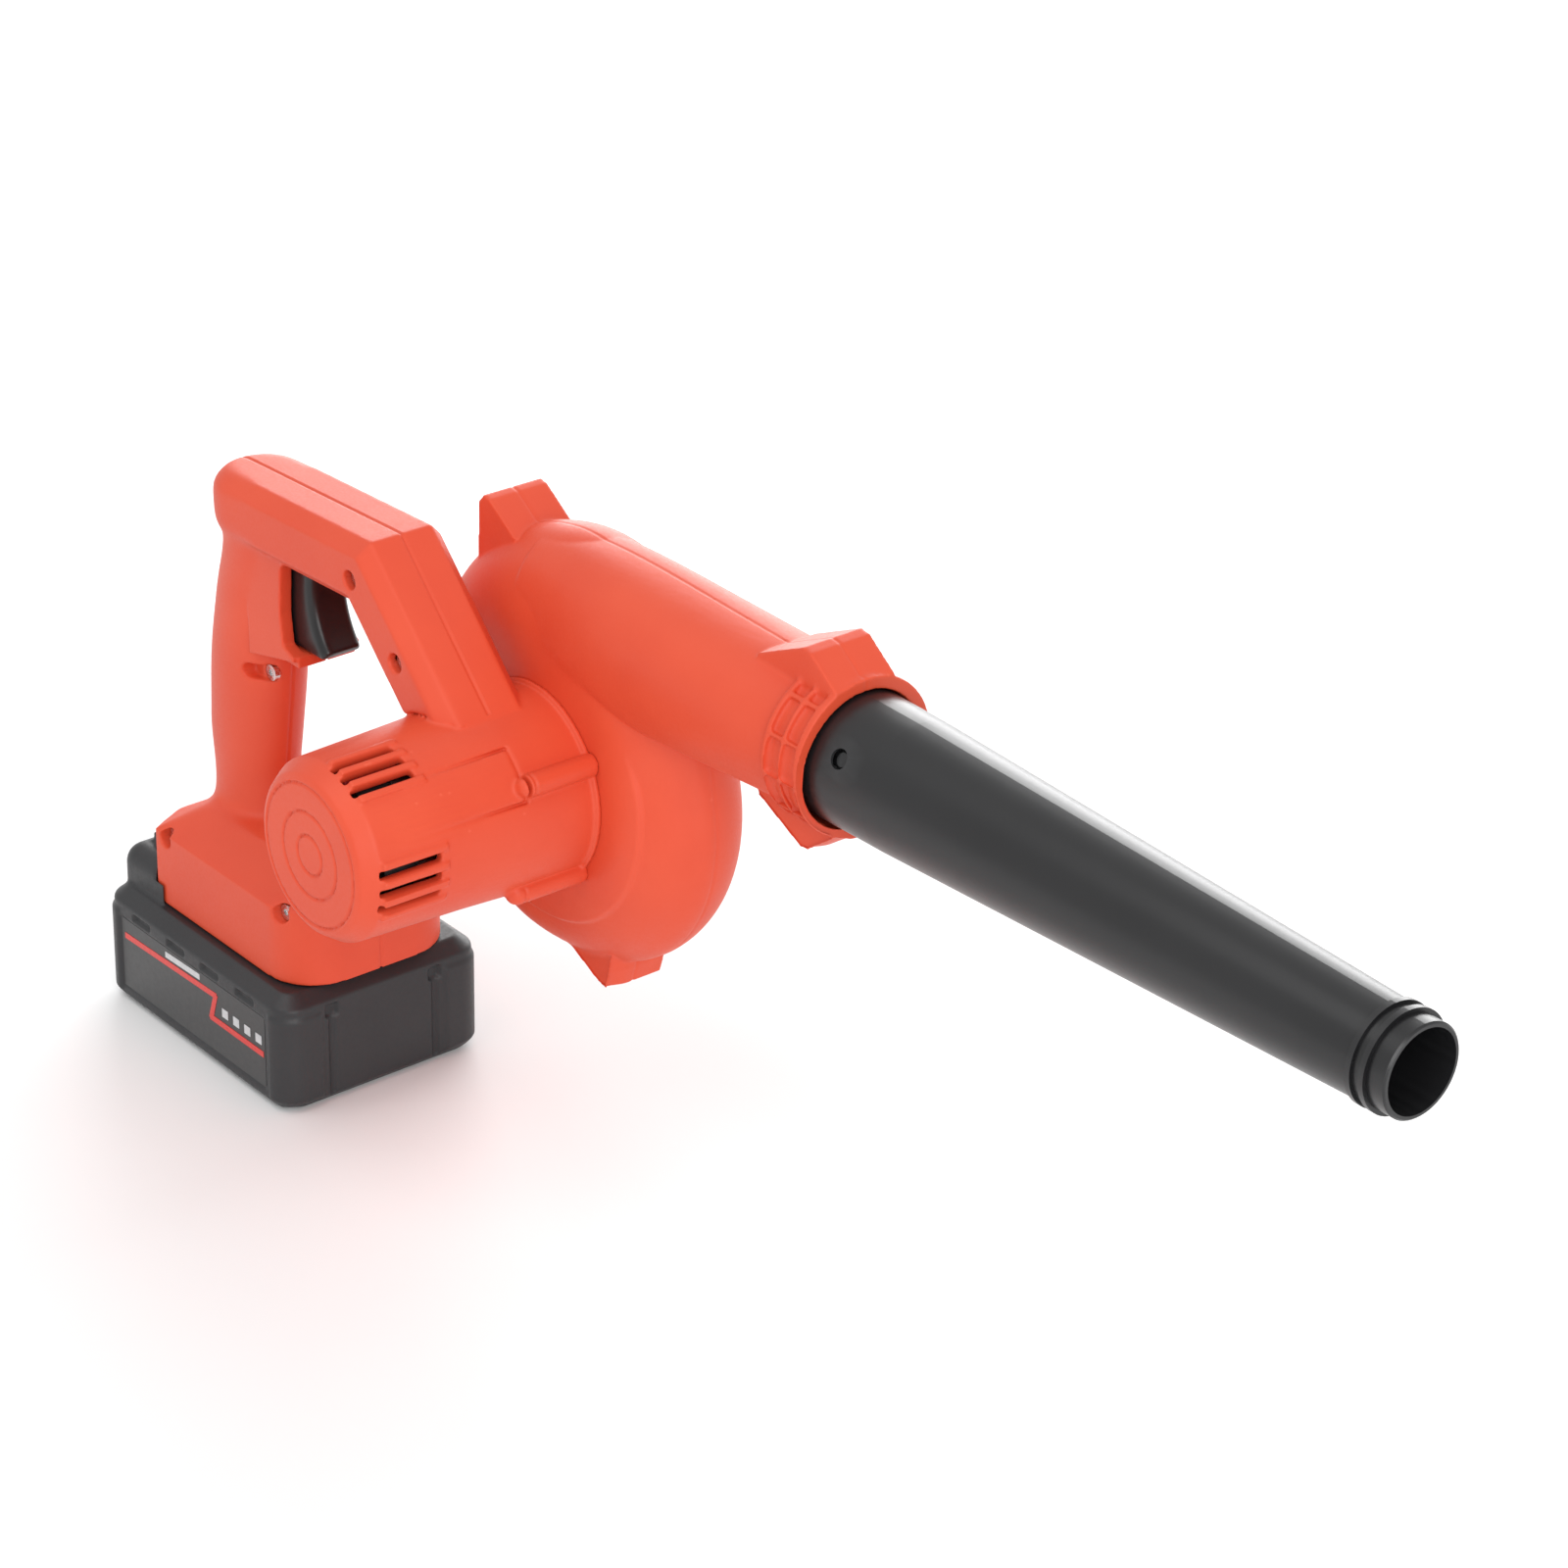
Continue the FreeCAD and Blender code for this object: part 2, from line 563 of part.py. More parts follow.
def inlet_grille():
    y0 = FAR_Y - 2.0
    y1 = FAR_Y + 1.0
    pieces = [ring_y(MOTOR_X, MOTOR_Z, INLET_RADIUS - 0.05, 28.0, y0, y1)]
    for radius in (7.0, 14.5, 22.0):
        pieces.append(ring_y(MOTOR_X, MOTOR_Z, radius + 1.0, radius - 1.0, y0, y1))
    for step in range(3):
        spoke = box(MOTOR_X - 29, MOTOR_X + 29, y0, y1, MOTOR_Z - 1.0, MOTOR_Z + 1.0)
        spoke.rotate(V(MOTOR_X, 0, MOTOR_Z), V(0, 1, 0), 60.0 * step + 30)
        pieces.append(spoke)
    return fuse(pieces)


# ---- nozzle, its sleeve and lock pin ------------------------------------------------
def pin_turn(shape):
    """Turn a shape drawn along +Y at the nozzle axis round to the pin direction."""
    shape.rotate(V(0, SEAM_Y, NOZZLE_Z), V(1, 0, 0), PIN_DEG)
    return shape


def outlet_sleeve():
    profile = [(COLLAR_X + 1.7, 17.6), (COLLAR_X + 1.7, 22.9), (COLLAR_X + 4.0, 22.9),
               (COLLAR_X + 4.0, SLEEVE_RADIUS), (SLEEVE_FRONT_X - 2, SLEEVE_RADIUS),
               (SLEEVE_FRONT_X, SLEEVE_RADIUS - 0.8), (SLEEVE_FRONT_X, 17.6)]
    body = turned_x(profile)
    hole = pin_turn(Part.makeCylinder(PIN_RADIUS + 0.08, 10, V(PIN_X, SEAM_Y + 12, NOZZLE_Z), V(0, 1, 0)))
    # pocket that carries the pin and keeps it from falling inward
    guide = Part.makeCylinder(4.2, 3.6, V(PIN_X, SEAM_Y + 14.6, NOZZLE_Z), V(0, 1, 0))
    guide = guide.cut(Part.makeCylinder(PIN_RADIUS + 0.08, 9, V(PIN_X, SEAM_Y + 12, NOZZLE_Z), V(0, 1, 0)))
    return body.fuse(pin_turn(guide)).cut(hole)


def nozzle_lock_pin():
    stem = Part.makeCylinder(PIN_RADIUS, 7.2, V(PIN_X, SEAM_Y + 13.4, NOZZLE_Z), V(0, 1, 0))
    head = Part.makeCylinder(3.4, 0.9, V(PIN_X, SEAM_Y + 13.4, NOZZLE_Z), V(0, 1, 0))
    return pin_turn(stem.fuse(head))


def nozzle():
    root_in = SLEEVE_RADIUS + 0.3
    profile = [(NOZZLE_ROOT_X, root_in), (NOZZLE_ROOT_X, NOZZLE_ROOT_RADIUS),
               (SLEEVE_FRONT_X + 4, NOZZLE_ROOT_RADIUS - 0.5),
               (473.8, 15.6), (473.8, 16.5), (475.8, 16.5), (475.8, 15.4), (478.8, 15.3),
               (478.8, 16.4), (480.8, 16.4), (480.8, NOZZLE_TIP_RADIUS),
               (NOZZLE_TIP_X - 0.6, NOZZLE_TIP_RADIUS), (NOZZLE_TIP_X, NOZZLE_TIP_RADIUS - 0.6),
               (NOZZLE_TIP_X, NOZZLE_TIP_BORE),
               (468.0, NOZZLE_TIP_BORE), (SLEEVE_FRONT_X + 3, 19.2), (SLEEVE_FRONT_X + 1, root_in)]
    body = turned_x(profile)
    hole = Part.makeCylinder(3.3, 12, V(PIN_X, SEAM_Y + 16, NOZZLE_Z), V(0, 1, 0))
    # lead-in groove the pin nose travels through
    groove = box(NOZZLE_ROOT_X - 1, PIN_X, SEAM_Y + 17.5, SEAM_Y + 21.2, NOZZLE_Z - 2.8, NOZZLE_Z + 2.8)
    return body.cut(pin_turn(hole)).cut(pin_turn(groove))


# ---- motor --------------------------------------------------------------------------
CAN_RADIUS = 21.0
CAN_REAR_Y = -38.0


def motor_can():
    body = turned_y([(20.0, CAN_REAR_Y), (CAN_RADIUS, CAN_REAR_Y), (CAN_RADIUS, FACE_Y),
                     (9.0, FACE_Y), (9.0, FACE_Y + 3.0), (6.6, FACE_Y + 3.0),
                     (6.6, FACE_Y - 2.0), (20.0, FACE_Y - 2.0)])
    for side in (-1, 1):
        body = body.cut(cyl_y(MOTOR_X + 14.0 * side, MOTOR_Z, 1.9, FACE_Y - 4, FACE_Y + 1))
    return body


def motor_magnets():
    ring = ring_y(MOTOR_X, MOTOR_Z, 19.95, 17.4, -28, 16)
    pieces = []
    for sign in (-1, 1):
        window = box(MOTOR_X - 13, MOTOR_X + 13, -40, 40,
                     min(MOTOR_Z, MOTOR_Z + 30 * sign), max(MOTOR_Z, MOTOR_Z + 30 * sign))
        pieces.append(ring.common(window))
    return group(pieces)


def motor_end_bell():
    body = turned_y([(6.6, -53.0), (10.0, -53.0), (10.0, -51.0), (20.6, -51.0), (20.6, CAN_REAR_Y),
                     (18.4, CAN_REAR_Y), (18.4, -48.8), (6.6, -48.8)])
    for sign in (-1, 1):
        body = body.cut(box(MOTOR_X + 6 * sign - 7, MOTOR_X + 6 * sign + 7, -60, -52.9, MOTOR_Z + 9, MOTOR_Z + 9.1))
    return body


def motor_brushes():
    pieces = []
    for sign in (-1, 1):
        near = MOTOR_X + 7.4 * sign
        far = MOTOR_X + 13.5 * sign
        pieces.append(box(min(near, far), max(near, far), -44.5, -40.5, MOTOR_Z - 2.2, MOTOR_Z + 2.2))
    return group(pieces)


def brush_holders():
    pieces = []
    for sign in (-1, 1):
        near = MOTOR_X + 9.0 * sign
        far = MOTOR_X + 17.6 * sign
        case = box(min(near, far), max(near, far), -46.2, -39.4, MOTOR_Z - 3.4, MOTOR_Z + 3.4)
        far_in = MOTOR_X + 16.4 * sign
        bore = box(min(near - sign, far_in), max(near - sign, far_in), -44.6, -40.4, MOTOR_Z - 2.3, MOTOR_Z + 2.3)
        pieces.append(case.cut(bore))
    return group(pieces)


def motor_terminals():
    pieces = []
    for sign in (-1, 1):
        x = MOTOR_X + 8.0 * sign
        pieces.append(box(x - 2.4, x + 2.4, -57.5, -51.0, MOTOR_Z + 12.4, MOTOR_Z + 13.2))
    return group(pieces)


def bearing(y0, y1):
    return ring_y(MOTOR_X, MOTOR_Z, 6.55, SHAFT_RADIUS + 0.05, y0, y1)


def motor_shaft():
    return cyl_y(MOTOR_X, MOTOR_Z, SHAFT_RADIUS, -54.0, 56.0)


def armature():
    core = ring_y(MOTOR_X, MOTOR_Z, 16.8, SHAFT_RADIUS, -26, 14)
    for step in range(12):
        slot = box(MOTOR_X + 12.0, MOTOR_X + 18, -27, 15, MOTOR_Z - 0.9, MOTOR_Z + 0.9)
        slot.rotate(V(MOTOR_X, 0, MOTOR_Z), V(0, 1, 0), 30.0 * step)
        core = core.cut(slot)
    return core


def windings():
    rear = turned_y([(4, -33), (11, -33), (15, -30), (15, -26.05), (4, -26.05)])
    front = turned_y([(4, 14.05), (15, 14.05), (15, 17.5), (11, 20), (4, 20)])
    return group([rear, front])


def commutator():
    body = ring_y(MOTOR_X, MOTOR_Z, 7.0, SHAFT_RADIUS, -47.5, -36)
    for step in range(12):
        slot = box(MOTOR_X + 6.2, MOTOR_X + 8, -48, -37, MOTOR_Z - 0.25, MOTOR_Z + 0.25)
        slot.rotate(V(MOTOR_X, 0, MOTOR_Z), V(0, 1, 0), 30.0 * step)
        body = body.cut(slot)
    return body


def motor_screws():
    pieces = []
    floor = FACE_Y + WALL
    for side in (-1, 1):
        x = MOTOR_X + 14.0 * side
        head = cyl_y(x, MOTOR_Z, 3.4, floor, floor + 1.9).cut(cyl_y(x, MOTOR_Z, 1.5, floor + 0.9, floor + 3))
        pieces.append(head.fuse(cyl_y(x, MOTOR_Z, 1.85, FACE_Y - 1.9, floor)))
    return group(pieces)


# ---- fan wheel ----------------------------------------------------------------------
BACK_Y = 31.5


def fan_blade():
    """One backward-curved blade, a constant-thickness arc strip."""
    inner = 19.0
    outer = IMPELLER_RADIUS - 0.5
    thick = 1.0
    sweep = 34.0
    def arc_point(radius, side):
        part = (radius - inner) / (outer - inner)
        degrees = sweep * part ** 0.8
        x, z = on_local(radius, -degrees)
        angle = math.radians(-degrees)
        return V(x - side * thick * math.sin(angle), BACK_Y + 1.0, z + side * thick * math.cos(angle))
    middle = 0.5 * (inner + outer)
    top = Part.Arc(arc_point(inner, 1), arc_point(middle, 1), arc_point(outer, 1)).toShape()
    low = Part.Arc(arc_point(inner, -1), arc_point(middle, -1), arc_point(outer, -1)).toShape()
    tip = Part.makeLine(arc_point(outer, 1), arc_point(outer, -1))
    root = Part.makeLine(arc_point(inner, 1), arc_point(inner, -1))
    face = Part.Face(Part.Wire(Part.__sortEdges__([top, tip, low, root])))
    blade = face.extrude(V(0, 26.0, 0))
    blade.translate(V(MOTOR_X, 0, MOTOR_Z))
    return blade


def impeller():
    disc = turned_y([(SHAFT_RADIUS, BACK_Y), (IMPELLER_RADIUS, BACK_Y), (IMPELLER_RADIUS, BACK_Y + 2.0),
                     (20.0, BACK_Y + 2.0), (8.0, BACK_Y + 9.0), (8.0, BACK_Y + 18.5),
                     (SHAFT_RADIUS, BACK_Y + 18.5)])
    pieces = [disc]
    for step in range(BLADES):
        blade = fan_blade()
        blade.rotate(V(MOTOR_X, 0, MOTOR_Z), V(0, 1, 0), 360.0 * step / BLADES)
        pieces.append(blade)
    shroud = turned_y([(33.0, BACK_Y + 27.0), (IMPELLER_RADIUS, BACK_Y + 27.0),
                       (IMPELLER_RADIUS, BACK_Y + 28.8), (33.0, BACK_Y + 28.8)])
    return fuse(pieces + [shroud])


def impeller_nut():
    corners = []
    for step in range(6):
        x, z = on_local(4.6, 60.0 * step)
        corners.append((MOTOR_X + x, MOTOR_Z + z))
    nut = slab(corners, BACK_Y + 19.5, BACK_Y + 23.5)
    washer = cyl_y(MOTOR_X, MOTOR_Z, 6.0, BACK_Y + 18.5, BACK_Y + 19.5)
    return nut.fuse(washer).cut(cyl_y(MOTOR_X, MOTOR_Z, SHAFT_RADIUS, 0, 80))


# ---- trigger and switch -------------------------------------------------------------
def trigger():
    top = V(30.5, 0, 186.4)
    waist = V(31.4, 0, 172.0)
    toe = V(38.2, 0, 159.9)
    heel = V(35.8, 0, 157.0)
    back_low = V(10.0, 0, 157.0)
    back_top = V(10.0, 0, 186.4)
    front = Part.Arc(top, waist, toe).toShape()
    lines = [front, Part.makeLine(toe, heel), Part.makeLine(heel, back_low),
             Part.makeLine(back_low, back_top), Part.makeLine(back_top, top)]
    face = Part.Face(Part.Wire(lines))
    face.translate(V(0, -7.8, 0))
    body = face.extrude(V(0, 15.6, 0))
    front_edges = []
    for edge in body.Edges:
        bounds = edge.BoundBox
        if bounds.YLength < 0.1 and bounds.XMin > 28 and bounds.ZLength > 20:
            front_edges.append(edge)
    body = body.makeFillet(3.2, front_edges)
    # hollow back that clears the switch
    body = body.cut(box(9, 24, -5.6, 5.6, 159.4, 184.0))
    plunger = box(3.4, 24.5, -3, 3, 168, 174)
    return body.fuse(plunger)


def switch_body():
    case = box(-14.0, 3.4, -8.6, 8.6, 158.2, 186.0)
    bore = box(-8.0, 6.0, -3.2, 3.2, 167.8, 174.2)
    return case.cut(bore)


def trigger_spring():
    body = coil(0, 0, 0, 2.2, 0.4, 1.9, 9.5)
    body.rotate(V(0, 0, 0), V(0, 1, 0), 90)
    body.translate(V(-7.4, 0, 171.0))
    return body


def leads():
    pieces = []
    for side in (-1, 1):
        y = 4.5 * side
        pieces.append(tube([(41.0, y, 61.0), (41.0, y, 62.4), (37.6, y, 66.2), (8.0, y, 68.4), (-12.0, y, 84.0),
                            (-16.0, y, 104.0), (-12.0, y, 130.0), (-7.0, y, 150.0),
                            (-7.0, y, 158.2)], 1.2))
    for side in (-1, 1):
        y = 4.0 * side
        x = MOTOR_X - 5.5 * side - 1.0
        pieces.append(tube([(-2.0, y, 186.0), (-2.0, y, 194.0), (6.0, y, 206.0), (64.0, y, 208.7),
                            (74.5, y, 207.0), (104.6, y, 176.3), (104.6, y, 159.6)], 1.3))
        pieces.append(tube([(104.6, y, 159.6), (x, y - 6.5 + 2.5 * side, 159.4), (x, -54.5, 159.4),
                            (MOTOR_X - 8.0 * side, -54.5, MOTOR_Z + 14.4)], 1.1))
    return group([pieces[0], pieces[1], pieces[2].fuse(pieces[3]), pieces[4].fuse(pieces[5])])


def terminal_block():
    body = box(38.0, CHANNEL_FRONT_X, -20.0, 20.0, 47.0, 61.0)
    for y in BLADE_ROWS:
        body = body.cut(box(37, 44, y - 0.5, y + 0.5, 50.0, 58.0))
    return body


def terminal_blades():
    return group([box(24.0, 44.0, y - 0.5, y + 0.5, 50.0, 58.0) for y in BLADE_ROWS])


# ---- battery pack -------------------------------------------------------------------
def pack_prism(inset, z0, z1, corner):
    half_x = PACK_LENGTH / 2 - inset
    half_y = PACK_WIDTH / 2 - inset
    body = box(-half_x, half_x, -half_y, half_y, z0, z1)
    upright = []
    for edge in body.Edges:
        if abs(edge.tangentAt(edge.FirstParameter).z) > 0.9:
            upright.append(edge)
    return body.makeFillet(corner, upright)


def pack_outer():
    body = pack_prism(0, 0, PACK_EDGE_Z, 9.0)
    low = []
    for edge in body.Edges:
        if edge.BoundBox.ZMax < 0.01:
            low.append(edge)
    body = body.makeChamfer(3.0, low)
    shoulder_low = pack_prism(0, PACK_EDGE_Z - 0.01, PACK_EDGE_Z, 9.0)
    shoulder_top = pack_prism(5.0, PACK_DECK_Z, PACK_DECK_Z + 0.01, 5.0)
    low_wire = max(shoulder_low.Faces, key=lambda f: f.CenterOfMass.z).OuterWire
    top_wire = min(shoulder_top.Faces, key=lambda f: f.CenterOfMass.z).OuterWire
    shoulder = Part.makeLoft([low_wire, top_wire], True, True)
    return body.fuse(shoulder)


def latch_block():
    """Raised end of the pack behind the foot."""
    body = box(-PACK_LENGTH / 2, -28, -35.0, 35.0, PACK_DECK_Z - 1, 58.0)
    edges = []
    for edge in body.Edges:
        bounds = edge.BoundBox
        along_x = bounds.XLength > 5 and bounds.ZMin > 57
        rear = bounds.XMax < -56 and (bounds.ZLength > 5 or bounds.ZMin > 57)
        if along_x or rear:
            edges.append(edge)
    body = body.makeFillet(7.0, edges)
    front = foot_plan(PACK_DECK_Z + 0.2, 0, -0.6)
    return body.cut(Part.Face(front).extrude(V(0, 0, 30)))


def rail_block():
    rear = -50.0
    front = 37.0
    body = box(rear, front, -RAIL_HALF_WIDTH, RAIL_HALF_WIDTH, PACK_DECK_Z - 1, RAIL_TOP_Z)
    for side in (-1, 1):
        inner = 21.1 * side
        outer = 26.0 * side
        body = body.cut(box(-40, front + 1, min(inner, outer), max(inner, outer), 51.0, 55.0))
    return body


def pack_cases():
    outer = pack_outer()
    raised = latch_block().fuse(rail_block())
    body = outer.fuse(raised)
    hollow = pack_prism(PACK_WALL, PACK_WALL, PACK_EDGE_Z + 1.4, 7.0)
    crown = box(-34, 34.8, -18.8, 18.8, PACK_EDGE_Z, RAIL_TOP_Z - 2.0)
    body = body.cut(hollow).cut(crown)
    for y in BLADE_ROWS:
        body = body.cut(box(21.8, 40, y - 1.3, y + 1.3, 48.0, 60.2))
    # latch chamber, its button window and the hook slot
    chamber = box(-54.8, -37.4, -12.4, 12.4, 43.0, 53.6)
    window = box(-60, -54, -10.3, 10.3, 43.8, 55.0)
    hook = box(-43.0, -37.4, -6.4, 6.4, 50, 70)
    body = body.cut(chamber).cut(window).cut(hook)
    # label recesses on both long sides
    for side in (-1, 1):
        deep = PACK_WIDTH / 2 - 0.9
        shallow = PACK_WIDTH / 2 + 1
        panel = box(-47, 45, min(side * deep, side * shallow), max(side * deep, side * shallow), 6.0, 34.5)
        body = body.cut(panel)
    posts = []
    bores = []
    for x in (-POST_X, POST_X):
        for y in (-POST_Y, POST_Y):
            posts.append(cyl_z(x, y, 3.2, 1, PACK_EDGE_Z + 1))
            bores.append(cyl_z(x, y, 2.7, -1, 3.0))
            bores.append(cyl_z(x, y, 1.6, 2, PACK_SEAM_Z))
            bores.append(cyl_z(x, y, 1.3, PACK_SEAM_Z, 36))
    body = body.multiFuse([p.common(outer) for p in posts]).cut(Part.makeCompound(bores))
    lower = body.common(box(-80, 80, -60, 60, -1, PACK_SEAM_Z))
    upper = body.common(box(-80, 80, -60, 60, PACK_SEAM_Z, 90))
    return lower, upper


def pack_screws():
    pieces = []
    for x in (-POST_X, POST_X):
        for y in (-POST_Y, POST_Y):
            head = cyl_z(x, y, 2.6, 1.2, 3.0).cut(cyl_z(x, y, 1.1, 0, 2.2))
            pieces.append(head.fuse(cyl_z(x, y, 1.25, 3.0, 34)))
    return group(pieces)


CELL_ROWS = (12.4, 31.6)


def cell_centres():
    centres = []
    for z in CELL_ROWS:
        for step in range(5):
            centres.append((CELL_PITCH * (step - 2), z))
    return centres


def cells():
    pieces = []
    for x, z in cell_centres():
        half = CELL_LENGTH / 2
        can = cyl_y(x, z, CELL_RADIUS, -half, half)
        groove = ring_y(x, z, CELL_RADIUS + 1, CELL_RADIUS - 0.5, half - 3.2, half - 2.0)
        pieces.append(can.cut(groove))
    return group(pieces)


def cell_holders():
    pieces = []
    for y0, y1 in ((-27.0, -20.0), (20.0, 27.0)):
        plate = box(-47.8, 47.8, y0, y1, 2.9, 41.2)
        for x, z in cell_centres():
            plate = plate.cut(cyl_y(x, z, CELL_RADIUS + 0.05, y0 - 1, y1 + 1))
        pieces.append(plate)
    return group(pieces)


def cell_straps():
    pieces = []
    for index in range(5):
        x = CELL_PITCH * (index - 2)
        pieces.append(box(x - 4, x + 4, 32.55, 32.85, 8.0, 36.0))
    for index in range(3):
        start = -CELL_PITCH * 2 + CELL_PITCH * 2 * index
        end = min(start + CELL_PITCH, CELL_PITCH * 2)
        pieces.append(box(start - 4, end + 4, -32.85, -32.55, 8.0, 36.0))
    return group(pieces)


def pack_board():
    board = box(-32, 34, -17.5, 17.5, 45.6, 47.2)
    parts = [box(-26, -16, -12, -2, 47.2, 49.4), box(-10, 4, -6, 8, 47.2, 48.6),
             box(-26, -20, 4, 12, 47.2, 51.0)]
    return fuse([board] + parts)


def pack_clips():
    pieces = []
    for y in BLADE_ROWS:
        for side in (-1, 1):
            near = y + 0.85 * side
            far = y + 1.25 * side
            pieces.append(box(23.5, 34.5, min(near, far), max(near, far), 47.3, 59.0))
    return group(pieces)


def label_panels():
    pieces = []
    for side in (-1, 1):
        near = side * (PACK_WIDTH / 2 - 0.9)
        far = side * (PACK_WIDTH / 2 - 0.4)
        pieces.append(box(-46.6, 44.6, min(near, far), max(near, far), 6.4, 34.1))
    return group(pieces)


def pack_latch():
    button = box(-57.6, -54.2, -9.8, 9.8, 47.9, 54.6)
    bridge = box(-54.4, -38.0, -11.8, 11.8, 49.6, 52.6)
    hook = box(-42.4, -38.0, -6.0, 6.0, 52.0, 66.0)
    hook = hook.cut(slab([(-42.5, 66.1), (-42.5, 62.8), (-39.2, 66.1)], -7, 7))
    return fuse([button, bridge, hook])


def latch_springs():
    pieces = []
    for y in (-8.0, 8.0):
        pieces.append(coil(-46.5, y, 43.5, 2.2, 0.42, 1.86, 5.58))
    return group(pieces)


# ---- write the parts ----------------------------------------------------------------
def main():
    os.makedirs("parts", exist_ok=True)
    right_handle, left_handle = handle_halves()
    right_scroll, left_scroll = scroll_halves()
    lower_case, upper_case = pack_cases()
    parts = {
        "handle_right": right_handle,
        "handle_left": left_handle,
        "handle_screws": handle_screws(),
        "motor_housing": motor_housing(),
        "scroll_right": right_scroll,
        "scroll_left": left_scroll,
        "scroll_screws": lug_screws(),
        "barrel_screws": barrel_screws(),
        "inlet_grille": inlet_grille(),
        "outlet_sleeve": outlet_sleeve(),
        "nozzle": nozzle(),
        "nozzle_lock_pin": nozzle_lock_pin(),
        "motor_can": motor_can(),
        "motor_magnets": motor_magnets(),
        "motor_end_bell": motor_end_bell(),
        "brush_holders": brush_holders(),
        "motor_brushes": motor_brushes(),
        "motor_terminals": motor_terminals(),
        "front_bearing": bearing(FACE_Y - 2.0, FACE_Y + 3.0),
        "rear_bearing": bearing(-53.0, -48.8),
        "motor_screws": motor_screws(),
        "rotor_shaft": motor_shaft(),
        "armature": armature(),
        "windings": windings(),
        "commutator": commutator(),
        "impeller": impeller(),
        "impeller_nut": impeller_nut(),
        "trigger": trigger(),
        "trigger_spring": trigger_spring(),
        "switch_body": switch_body(),
        "leads": leads(),
        "terminal_block": terminal_block(),
        "terminal_blades": terminal_blades(),
        "pack_lower_case": lower_case,
        "pack_upper_case": upper_case,
        "pack_screws": pack_screws(),
        "cells": cells(),
        "cell_holders": cell_holders(),
        "cell_straps": cell_straps(),
        "pack_board": pack_board(),
        "pack_clips": pack_clips(),
        "label_panels": label_panels(),
        "pack_latch": pack_latch(),
        "latch_springs": latch_springs(),
    }
    for name, shape in parts.items():
        shape.exportStep("parts/" + name + ".step")
        print(name, shape.isValid(), len(shape.Solids), round(shape.Volume))


main()
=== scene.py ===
import bpy
import bmesh
import json
import math
import numpy as np
from mathutils import Matrix, Vector

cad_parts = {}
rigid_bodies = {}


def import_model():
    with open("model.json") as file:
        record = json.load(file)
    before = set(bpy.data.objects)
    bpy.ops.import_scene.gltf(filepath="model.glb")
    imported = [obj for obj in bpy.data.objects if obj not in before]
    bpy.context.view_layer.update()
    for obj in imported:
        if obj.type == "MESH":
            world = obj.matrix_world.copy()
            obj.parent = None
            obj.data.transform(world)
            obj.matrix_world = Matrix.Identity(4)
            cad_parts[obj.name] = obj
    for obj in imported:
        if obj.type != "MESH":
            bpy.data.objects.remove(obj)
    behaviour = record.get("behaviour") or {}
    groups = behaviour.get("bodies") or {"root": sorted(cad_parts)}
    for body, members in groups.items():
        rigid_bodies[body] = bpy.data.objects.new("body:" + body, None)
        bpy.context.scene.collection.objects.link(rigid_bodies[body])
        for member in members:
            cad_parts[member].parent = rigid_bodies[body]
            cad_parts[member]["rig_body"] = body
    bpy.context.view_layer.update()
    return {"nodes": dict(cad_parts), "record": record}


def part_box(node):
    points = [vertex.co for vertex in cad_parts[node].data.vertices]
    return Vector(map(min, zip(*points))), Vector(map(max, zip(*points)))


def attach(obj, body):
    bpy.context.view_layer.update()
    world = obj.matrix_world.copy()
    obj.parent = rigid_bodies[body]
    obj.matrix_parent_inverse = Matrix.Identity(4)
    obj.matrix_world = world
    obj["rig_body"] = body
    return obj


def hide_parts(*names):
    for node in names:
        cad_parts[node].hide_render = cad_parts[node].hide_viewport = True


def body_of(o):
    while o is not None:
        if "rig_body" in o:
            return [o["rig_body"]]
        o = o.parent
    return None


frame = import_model()
NODES = frame["nodes"]
MM = 0.001

# ---- camera -------------------------------------------------------------------------
AZIMUTH = math.radians(39.915)
ELEVATION = math.radians(27.219)
ROLL = math.radians(1.322)
LENS_MM = 105.75
SENSOR_MM = 36.0
DISTANCE = 1.636907
AIM_HEIGHT = 0.030
AIM_RIGHT = 0.174816      # how far the aim point sits beside and above the aim line
AIM_UP = 0.056411


def make_camera():
    back = Vector((math.cos(AZIMUTH) * math.cos(ELEVATION), -math.sin(AZIMUTH) * math.cos(ELEVATION),
                   math.sin(ELEVATION)))
    level = (-back).cross(Vector((0, 0, 1))).normalized()
    upright = level.cross(-back)
    right = level * math.cos(ROLL) + upright * math.sin(ROLL)
    up = upright * math.cos(ROLL) - level * math.sin(ROLL)
    place = Vector((0, 0, AIM_HEIGHT)) + back * DISTANCE + right * AIM_RIGHT + up * AIM_UP
    data = bpy.data.cameras.new("camera")
    data.lens = LENS_MM
    data.sensor_width = SENSOR_MM
    data.clip_start = 0.05
    data.clip_end = 20.0
    camera = bpy.data.objects.new("camera", data)
    camera.matrix_world = Matrix((
        (right.x, up.x, back.x, place.x),
        (right.y, up.y, back.y, place.y),
        (right.z, up.z, back.z, place.z),
        (0, 0, 0, 1)))
    bpy.context.collection.objects.link(camera)
    bpy.context.scene.camera = camera


